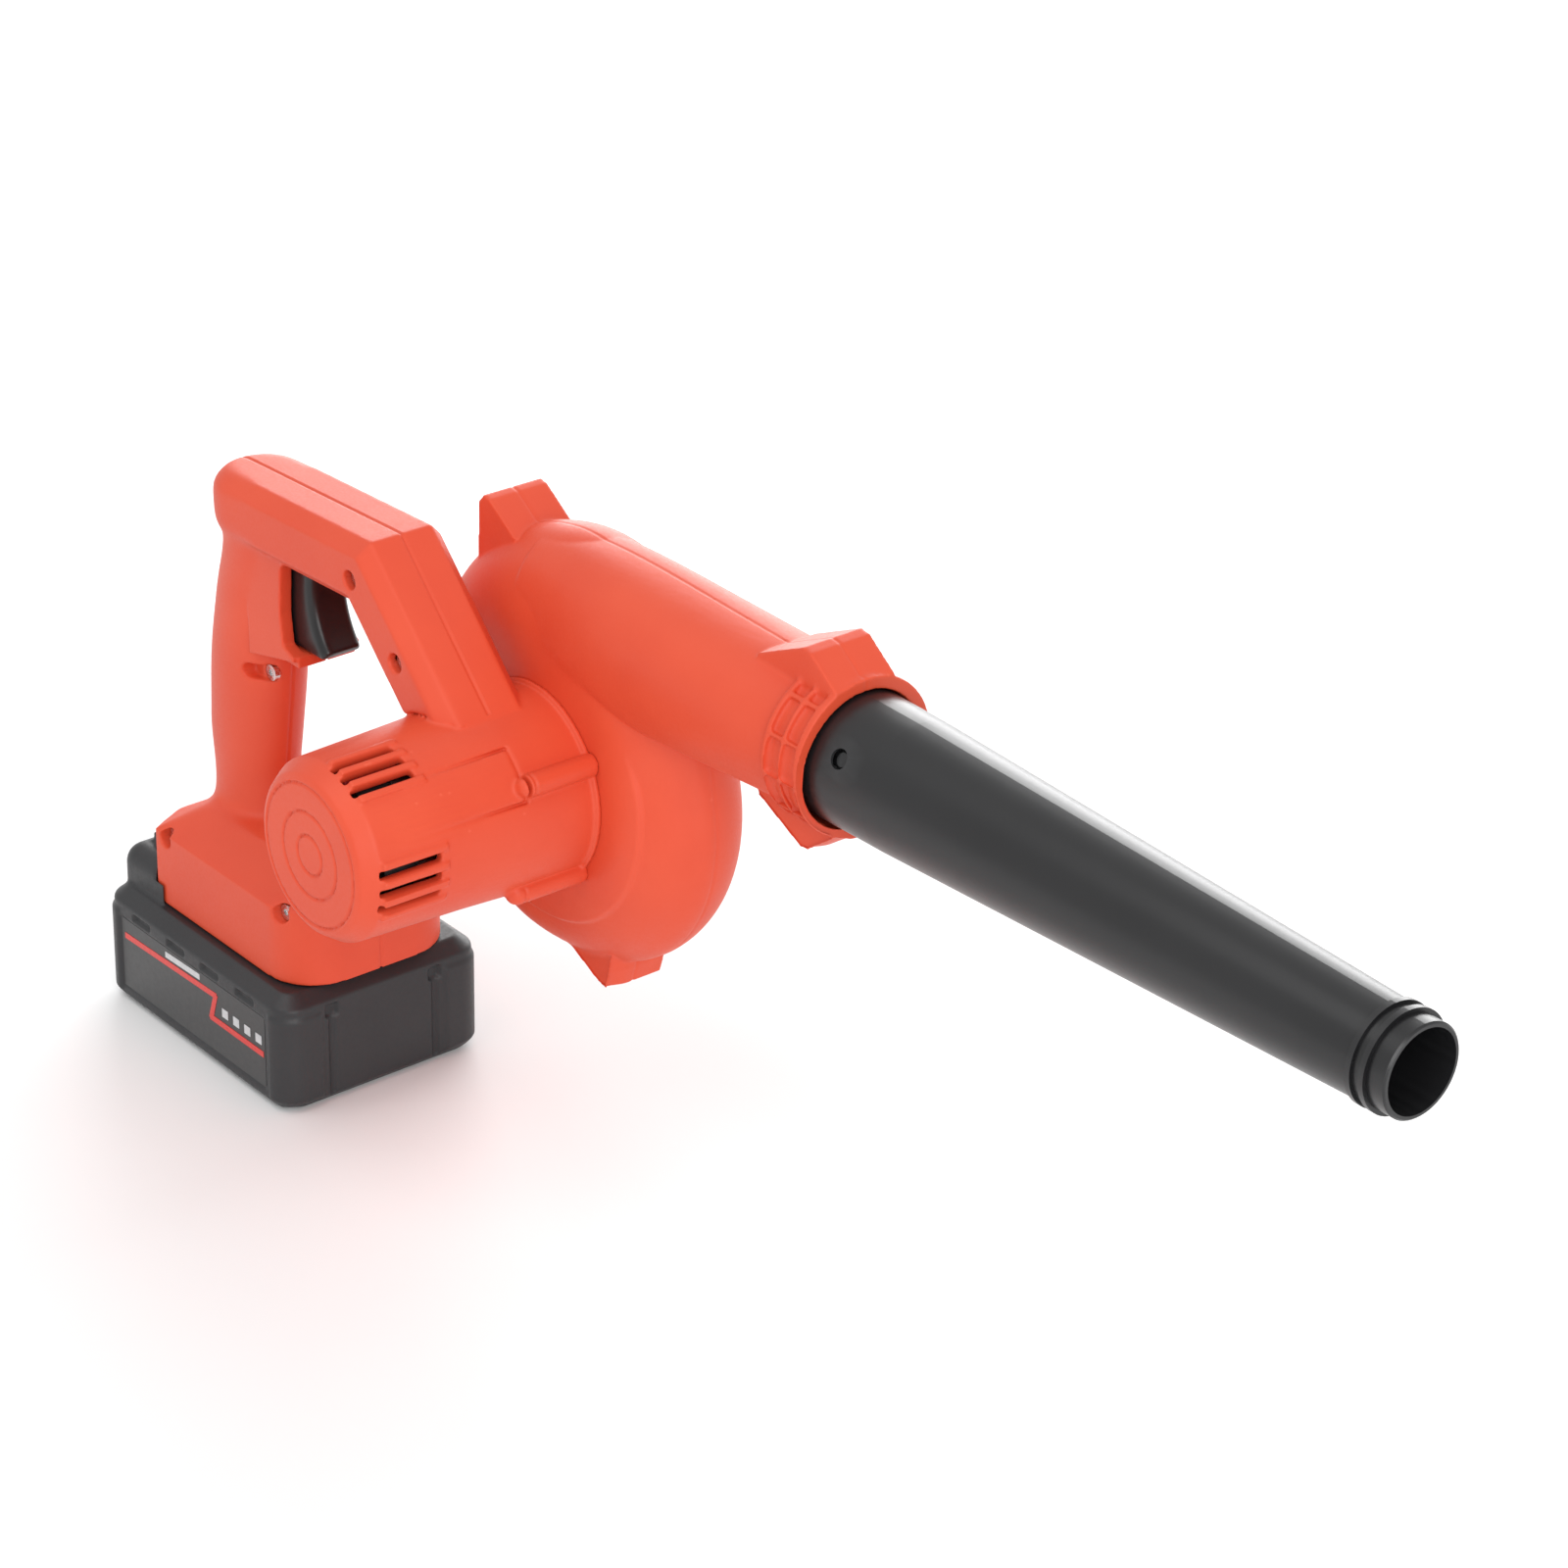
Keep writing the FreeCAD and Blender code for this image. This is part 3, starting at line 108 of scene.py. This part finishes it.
# ---- node helpers -------------------------------------------------------------------
class Shader:
    """A Principled material with small helpers for its node tree."""

    def __init__(self, name):
        self.material = bpy.data.materials.new(name)
        self.material.use_nodes = True
        self.tree = self.material.node_tree
        self.main = self.tree.nodes["Principled BSDF"]
        self.coords = self.add("ShaderNodeTexCoord").outputs["Object"]

    def add(self, kind):
        return self.tree.nodes.new(kind)

    def link(self, source, target):
        self.tree.links.new(source, target)

    def put(self, socket, value):
        self.main.inputs[socket].default_value = value

    def noise(self, scale, detail=2.0, roughness=0.5, stretch=None):
        node = self.add("ShaderNodeTexNoise")
        node.inputs["Scale"].default_value = scale
        node.inputs["Detail"].default_value = detail
        node.inputs["Roughness"].default_value = roughness
        source = self.coords
        if stretch:
            mapping = self.add("ShaderNodeMapping")
            mapping.inputs["Scale"].default_value = stretch
            self.link(source, mapping.inputs["Vector"])
            source = mapping.outputs["Vector"]
        self.link(source, node.inputs["Vector"])
        return node.outputs["Fac"]

    def ramp(self, source, low, high, start=0.0, end=1.0):
        node = self.add("ShaderNodeMapRange")
        node.inputs["From Min"].default_value = low
        node.inputs["From Max"].default_value = high
        node.inputs["To Min"].default_value = start
        node.inputs["To Max"].default_value = end
        self.link(source, node.inputs["Value"])
        return node.outputs["Result"]

    def mix(self, factor, first, second):
        node = self.add("ShaderNodeMix")
        node.data_type = "RGBA"
        if isinstance(factor, float):
            node.inputs["Factor"].default_value = factor
        else:
            self.link(factor, node.inputs["Factor"])
        for socket, value in ((node.inputs["A"], first), (node.inputs["B"], second)):
            if isinstance(value, tuple):
                socket.default_value = (*value, 1.0)
            else:
                self.link(value, socket)
        return node.outputs["Result"]

    def bump(self, height, distance, strength, normal=None):
        node = self.add("ShaderNodeBump")
        node.inputs["Distance"].default_value = distance
        node.inputs["Strength"].default_value = strength
        self.link(height, node.inputs["Height"])
        if normal:
            self.link(normal, node.inputs["Normal"])
        return node.outputs["Normal"]


def moulded_plastic(name, colour, shade, light, roughness, grain_scale, grain_depth, edge_wear_and_highlight=0.5, ior=1.49,
                    spread=0.045):
    """Moulded plastic: a spark-eroded grain, slow colour drift, and paler convex edges that stand for rubbed
    wear and also a painted edge highlight.
    """
    s = Shader(name)
    drift = s.noise(22.0, 3.0)
    base = s.mix(s.ramp(drift, 0.35, 0.7), shade, colour)
    # Convex edges are lightened towards the paler colour: partly rubbed wear, partly a painted edge highlight.
    point = s.add("ShaderNodeNewGeometry").outputs["Pointiness"]
    wear_and_highlight_mask = s.ramp(point, 0.54, 0.62, 0.0, edge_wear_and_highlight)
    base = s.mix(wear_and_highlight_mask, base, light)
    s.link(base, s.main.inputs["Base Color"])
    grain = s.noise(grain_scale, 3.0, 0.6)
    rough = s.ramp(s.noise(grain_scale * 0.4, 2.0), 0.3, 0.7, roughness - spread, roughness + spread)
    s.link(rough, s.main.inputs["Roughness"])
    s.link(s.bump(grain, grain_depth, 0.35), s.main.inputs["Normal"])
    s.put("IOR", ior)
    return s


def metal(name, colour, dark, roughness, stretch):
    s = Shader(name)
    streak = s.noise(900.0, 3.0, 0.6, stretch)
    s.link(s.mix(s.ramp(streak, 0.3, 0.7), dark, colour), s.main.inputs["Base Color"])
    s.link(s.ramp(streak, 0.3, 0.7, roughness - 0.08, roughness + 0.1), s.main.inputs["Roughness"])
    s.link(s.bump(streak, 0.00005, 0.3), s.main.inputs["Normal"])
    s.put("Metallic", 1.0)
    return s


def printed_ink(name, dark, light):
    s = Shader(name)
    s.link(s.mix(s.ramp(s.noise(900.0), 0.3, 0.7), dark, light), s.main.inputs["Base Color"])
    s.put("Roughness", 0.35)
    return s.material


def make_materials():
    m = {}
    m["orange_shell"] = moulded_plastic("orange_shell", (0.72, 0.083, 0.033), (0.68, 0.070, 0.027),
                                        (0.80, 0.15, 0.08), 0.48, 2600.0, 0.00006, 0.3, 1.42).material
    m["black_plastic"] = moulded_plastic("black_plastic", (0.012, 0.012, 0.013), (0.009, 0.009, 0.010),
                                         (0.040, 0.040, 0.042), 0.31, 1500.0, 0.00001, 0.5, 1.50,
                                         0.012).material
    m["pack_grey"] = moulded_plastic("pack_grey", (0.026, 0.026, 0.028), (0.020, 0.020, 0.022),
                                     (0.070, 0.070, 0.073), 0.46, 1900.0, 0.00010).material
    m["label"] = moulded_plastic("label", (0.032, 0.032, 0.033), (0.027, 0.027, 0.028),
                                 (0.05, 0.05, 0.05), 0.36, 1200.0, 0.00002).material
    m["fan_plastic"] = moulded_plastic("fan_plastic", (0.03, 0.03, 0.032), (0.02, 0.02, 0.02),
                                       (0.07, 0.07, 0.07), 0.4, 2000.0, 0.00005).material
    m["holder_plastic"] = moulded_plastic("holder_plastic", (0.05, 0.05, 0.055), (0.04, 0.04, 0.04),
                                          (0.09, 0.09, 0.09), 0.5, 2000.0, 0.00005).material
    m["switch_plastic"] = moulded_plastic("switch_plastic", (0.03, 0.03, 0.03), (0.02, 0.02, 0.02),
                                          (0.07, 0.07, 0.07), 0.4, 2000.0, 0.00005).material
    m["carbon"] = moulded_plastic("carbon", (0.02, 0.02, 0.02), (0.012, 0.012, 0.012),
                                  (0.05, 0.05, 0.05), 0.7, 2000.0, 0.00005).material
    m["wire"] = moulded_plastic("wire", (0.5, 0.02, 0.02), (0.4, 0.015, 0.015),
                                (0.6, 0.1, 0.1), 0.4, 2000.0, 0.00002).material
    m["board"] = moulded_plastic("board", (0.01, 0.12, 0.04), (0.01, 0.09, 0.03),
                                 (0.05, 0.2, 0.1), 0.3, 1500.0, 0.00002).material
    m["cell_wrap"] = moulded_plastic("cell_wrap", (0.03, 0.16, 0.36), (0.025, 0.13, 0.3),
                                     (0.1, 0.25, 0.45), 0.25, 800.0, 0.00001).material
    m["steel"] = metal("steel", (0.62, 0.62, 0.63), (0.48, 0.48, 0.49), 0.3, (1.0, 0.02, 1.0)).material
    m["screw_steel"] = metal("screw_steel", (0.80, 0.80, 0.80), (0.62, 0.62, 0.62), 0.24,
                             (1.0, 1.0, 1.0)).material
    m["lamination"] = metal("lamination", (0.3, 0.3, 0.31), (0.2, 0.2, 0.2), 0.45, (0.05, 3.0, 0.05)).material
    m["magnet"] = metal("magnet", (0.2, 0.2, 0.2), (0.14, 0.14, 0.14), 0.5, (1.0, 1.0, 1.0)).material
    m["copper"] = metal("copper", (0.75, 0.36, 0.18), (0.6, 0.26, 0.12), 0.3, (0.1, 3.0, 0.1)).material
    m["nickel"] = metal("nickel", (0.7, 0.68, 0.63), (0.58, 0.56, 0.52), 0.25, (1.0, 0.1, 1.0)).material
    m["label_red"] = printed_ink("label_red", (0.62, 0.030, 0.025), (0.70, 0.045, 0.035))
    m["label_pale"] = printed_ink("label_pale", (0.52, 0.52, 0.53), (0.60, 0.60, 0.61))
    return m


def dress_nodes(materials):
    for part in frame["record"]["subparts"]:
        node = NODES[part["node"]]
        if not node.data.materials:
            node.data.materials.append(None)
        for slot in node.material_slots:
            slot.material = materials[part["material_slot"]]


# ---- moulded skins --------------------------------------------------------------------
def read_mesh(mesh):
    """Vertex places and edge ends of a mesh, as arrays."""
    places = np.empty(len(mesh.vertices) * 3)
    mesh.vertices.foreach_get("co", places)
    ends = np.empty(len(mesh.edges) * 2, dtype=np.int32)
    mesh.edges.foreach_get("vertices", ends)
    return places.reshape(-1, 3), ends.reshape(-1, 2)


def relax(places, ends, passes, weight=None):
    """Moves each vertex towards the mean of its neighbours, passes times."""
    count = len(places)
    if weight is not None:
        near = (weight[ends[:, 0]] > 0) | (weight[ends[:, 1]] > 0)
        ends = ends[near]
    first, second = ends.T
    degree = np.maximum(np.bincount(ends.ravel(), minlength=count), 1)
    pull = 0.5 if weight is None else 0.5 * weight
    for _ in range(passes):
        for axis in range(3):
            column = places[:, axis]
            total = np.bincount(first, column[second], count) + np.bincount(second, column[first], count)
            column += pull * (total / degree - column)


def press_line(places, normals, distance, depth, keep=1.0, half_width=0.6):
    """Presses a fine line into the skin where a distance field, in metres, is near zero."""
    press = np.clip(1.0 - np.abs(distance) / (half_width * MM), 0.0, 1.0) * depth * MM
    places -= normals * (press * keep)[:, None]


def add_block(shape, low, high, turn=0.0, about=(0.0, 0.0)):
    """Adds a box between two corners in mm, turned about a Y axis through (x, z)."""
    low, high = Vector(low), Vector(high)
    pivot = Vector((about[0], 0, about[1]))
    place = (Matrix.Translation(pivot) @ Matrix.Rotation(-math.radians(turn), 4, "Y")
             @ Matrix.Translation((low + high) / 2 - pivot) @ Matrix.Diagonal((*(high - low), 1.0)))
    bmesh.ops.create_cube(shape, size=1.0, matrix=Matrix.Scale(MM, 4) @ place)


def shape_object(name, shape):
    mesh = bpy.data.meshes.new(name)
    shape.to_mesh(mesh)
    shape.free()
    made = bpy.data.objects.new(name, mesh)
    bpy.context.collection.objects.link(made)
    return made


def moulding(name, nodes, voxel, passes, soft_spots, raised, reshape, last_passes=0):
    """One smooth moulded skin that stands for some CAD nodes of one body."""
    gathered = bmesh.new()
    for node in nodes:
        part = NODES[node].data.copy()
        part.transform(NODES[node].matrix_world)
        gathered.from_mesh(part)
    raised(gathered)
    skin = shape_object(name, gathered)
    remesh = skin.modifiers.new("remesh", "REMESH")
    remesh.mode = "VOXEL"
    remesh.voxel_size = voxel
    evaluated = skin.evaluated_get(bpy.context.evaluated_depsgraph_get())
    mesh = bpy.data.meshes.new_from_object(evaluated)
    skin.modifiers.clear()
    skin.data = mesh
    places, ends = read_mesh(mesh)
    relax(places, ends, passes)
    for centre, radius, extra_passes in soft_spots:
        reach = np.linalg.norm(places - np.array(centre) * MM, axis=1) / (radius * MM)
        relax(places, ends, extra_passes, np.clip(2.0 - 2.0 * reach, 0.0, 1.0))
    mesh.vertices.foreach_set("co", places.ravel())
    mesh.update()
    normals = np.empty(len(places) * 3)
    mesh.vertex_normals.foreach_get("vector", normals)
    reshape(places, normals.reshape(-1, 3))
    if last_passes:
        relax(places, ends, last_passes)
    mesh.vertices.foreach_set("co", places.ravel())
    mesh.polygons.foreach_set("use_smooth", [True] * len(mesh.polygons))
    mesh.update()
    mesh.materials.clear()
    finish = next(part["material_slot"] for part in frame["record"]["subparts"] if part["node"] == nodes[0])
    mesh.materials.append(MATERIALS[finish])
    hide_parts(*nodes)
    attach(skin, body_of(NODES[nodes[0]])[0])
    return skin


# ---- studio -------------------------------------------------------------------------
def area_light(name, place, aim, size, power):
    data = bpy.data.lights.new(name, "AREA")
    data.shape = "RECTANGLE"
    data.size = size[0]
    data.size_y = size[1]
    data.energy = power
    lamp = bpy.data.objects.new(name, data)
    lamp.location = place
    lamp.rotation_euler = (Vector(aim) - Vector(place)).to_track_quat("-Z", "Y").to_euler()
    bpy.context.collection.objects.link(lamp)


def make_studio():
    mesh = bpy.data.meshes.new("floor")
    half = 6.0
    mesh.from_pydata([(-half, -half, 0), (half, -half, 0), (half, half, 0), (-half, half, 0)], [],
                     [(0, 1, 2, 3)])
    floor = bpy.data.objects.new("floor", mesh)
    bpy.context.collection.objects.link(floor)
    s = Shader("floor")
    s.link(s.mix(s.ramp(s.noise(3.0), 0.3, 0.7), (0.86, 0.86, 0.86), (0.90, 0.90, 0.90)),
           s.main.inputs["Base Color"])
    s.put("Roughness", 0.6)
    mesh.materials.append(s.material)
    world = bpy.data.worlds.new("studio")
    world.use_nodes = True
    world.node_tree.nodes["Background"].inputs["Color"].default_value = (1.0, 1.0, 1.0, 1.0)
    world.node_tree.nodes["Background"].inputs["Strength"].default_value = 0.82
    bpy.context.scene.world = world
    area_light("key", (0.1, -0.9, 1.9), (0.15, 0.0, 0.1), (1.6, 1.2), 8.5)
    area_light("side", (1.9, -0.7, 0.9), (0.15, 0.0, 0.12), (1.2, 1.2), 15.0)
    area_light("rear", (-0.84, 1.30, 0.55), (0.36, 0.045, 0.16), (1.6, 0.9), 22.0)
    bpy.context.scene.view_settings.view_transform = "Standard"


make_camera()
MATERIALS = make_materials()
dress_nodes(MATERIALS)

# ---- housings ---------------------------------------------------------------------------
def barrel_axis():
    """x and z of the motor's axis, in mm."""
    low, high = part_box("motor_can")
    return (low[0] + high[0]) / 2 / MM, (low[2] + high[2]) / 2 / MM


def from_axis(places):
    x, z = barrel_axis()
    return np.hypot(places[:, 0] - x * MM, places[:, 2] - z * MM)


def shell_extras(shape):
    """Raised ribs beside the vent slots of the barrel, and the lip under the trigger."""
    axis = barrel_axis()
    for middle, spacing in ((-5.4, 11.7), (69.6, 10.6), (185.4, 11.7)):
        for step in (-1.5, -0.5, 0.5, 1.5):
            add_block(shape, (axis[0] + 29.5, -59.0, axis[1] - 1.3), (axis[0] + 33.0, -34.0, axis[1] + 1.3),
                      middle + step * spacing, axis)
    add_block(shape, (10.0, -11.5, 151.8), (27.6, 11.5, 156.2))


def shell_lines(places, normals):
    """Parting line of the handle and the rings of the barrel's end cap."""
    radius = from_axis(places)
    on_handle = (radius > 34.5 * MM) & (np.abs(normals[:, 1]) < 0.8)
    press_line(places, normals, places[:, 1], 0.8, on_handle, 0.5)
    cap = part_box("motor_housing")[0][1]
    on_cap = places[:, 1] < cap + 1.2 * MM
    for ring in (6.9, 15.0, 24.6):
        press_line(places, normals, radius - ring * MM, 0.5, on_cap)


def ramp_up(values, low, high):
    """0 below low, 1 above high and smooth between them."""
    share = np.clip((values - low) / (high - low), 0.0, 1.0)
    return share * share * (3.0 - 2.0 * share)


def scroll_lines(places, normals):
    """Parting line of the fan scroll and the step between its side wall and its rim."""
    press_line(places, normals, places[:, 1] - 48.0 * MM, 0.4, np.abs(normals[:, 1]) < 0.8)
    x, z = barrel_axis()
    turn = np.degrees(np.arctan2(places[:, 2] - z * MM, places[:, 0] - x * MM))
    radius = from_axis(places) / MM
    share = ramp_up(turn, -112.0, -85.0) * (1.0 - ramp_up(turn, 16.0, 32.0))
    step = ramp_up(radius, 50.0, 52.2) * (1.0 - ramp_up(places[:, 1] / MM, 36.0, 46.0))
    places -= normals * (share * step * 1.4 * MM)[:, None]


def nothing(*_):
    """No added blocks or lines."""


def pack_reshape(places, normals):
    """Thicker corners, slots under the shoulder, front grooves and a scalloped lower edge."""
    low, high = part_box("pack_lower_case")
    front = high[0] / MM
    side = high[1] / MM
    corner = 9.0
    flat = np.abs(places[:, :2]) / MM - (front - corner, side - corner)
    outside = np.linalg.norm(np.maximum(flat, 0.0), axis=1) - corner
    span = np.abs(places) / MM
    rise = np.clip((span[:, 0] - 47.0) / 1.5, 0, 1) * np.clip((span[:, 1] - 25.0) / 1.5, 0, 1)
    rise *= np.clip((span[:, 2] - 3.0) / 1.5, 0, 1) * np.clip((37.5 - span[:, 2]) / 1.5, 0, 1)
    places += normals * (rise * (outside > -1.0) * 0.9 * MM)[:, None]
    hollows = []
    for y in (-1, 1):
        floor = y * (side - 1.4)
        wall = sorted((floor, y * (side + 3.0)))
        for x in (-33.0, -11.0, 11.0, 33.0):
            hollows.append(((x - 5.5, wall[0], 35.8), (x + 5.5, wall[1], 38.3), 1, floor))
            hollows.append(((x - 6.5, wall[0] - 1.0, -1.0), (x + 6.5, wall[1], 1.8), 2, 1.8))
        groove = sorted((y * 20.3, y * 22.9))
        deep = front - 1.9
        shallow = front - 1.1
        hollows.append(((shallow, groove[0], 3.0), (front + 3.0, groove[1], 33.5), 0, shallow))
        hollows.append(((deep, groove[0] - 1.2, 33.5), (front + 3.0, groove[1] + 1.2, 38.5), 0, deep))
    for start, end, axis, level in hollows:
        inside = np.all((places > np.array(start) * MM) & (places < np.array(end) * MM), axis=1)
        places[inside, axis] = level * MM


def build_housings():
    grip_spots = [((-16, 0, 192), 32, 160), ((-18, 0, 79), 34, 160), ((104, -6, 172), 24, 12)]
    tongue_spots = [((118, 48, 152), 42, 120)]
    moulding("shell_skin", ["handle_right", "handle_left", "motor_housing"], 0.5 * MM, 5, grip_spots,
             shell_extras, shell_lines)
    moulding("scroll_skin", ["scroll_right", "scroll_left"], 0.5 * MM, 4, tongue_spots, nothing, scroll_lines, 1)
    moulding("trigger_skin", ["trigger"], 0.35 * MM, 40, (), nothing, nothing)
    moulding("pack_skin", ["pack_lower_case", "pack_upper_case"], 0.6 * MM, 4, (), nothing, pack_reshape, 1)


def label_print(name, finish, outlines):
    """Thin printed shapes, four corners (x, z) each in mm, on both long sides of the battery."""
    low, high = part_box("label_panels")
    shape = bmesh.new()
    for side, facing in ((low[1], 1), (high[1], -1)):
        for order, outline in enumerate(outlines):
            rings = []
            for depth in (-0.14 - 0.02 * order, 0.3):
                rings.append([shape.verts.new((x * facing * MM, side + depth * facing * MM, z * MM))
                              for x, z in outline])
            shape.faces.new(rings[0])
            shape.faces.new(rings[1][::-1])
            for index in range(4):
                follow = (index + 1) % 4
                shape.faces.new((rings[0][follow], rings[0][index], rings[1][index], rings[1][follow]))
    bmesh.ops.recalc_face_normals(shape, faces=shape.faces)
    made = shape_object(name, shape)
    made.data.materials.append(MATERIALS[finish])
    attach(made, body_of(NODES["label_panels"])[0])


def decorate_label():
    """Plain zigzag band with a blank bar and squares, and no lettering."""
    centre_line = [Vector(point) for point in ((-44.0, 27.4), (14.0, 29.0), (10.8, 19.2), (43.0, 19.2))]
    half = 1.15
    band = []
    for start, end in zip(centre_line, centre_line[1:]):
        along = (end - start).normalized() * half
        across = Vector((-along.y, along.x))
        along = along * 0.6
        band.append([start - along - across, end + along - across, end + along + across,
                     start - along + across])
    label_print("label_band", "label_red", band)
    blanks = [[(-18.0, 30.2), (4.0, 30.9), (4.0, 33.2), (-18.0, 32.5)]]
    for x in (18.0, 25.0, 32.0, 39.0):
        blanks.append([(x, 22.6), (x + 3.6, 22.6), (x + 3.6, 26.0), (x, 26.0)])
    label_print("label_blanks", "label_pale", blanks)


build_housings()
decorate_label()
make_studio()
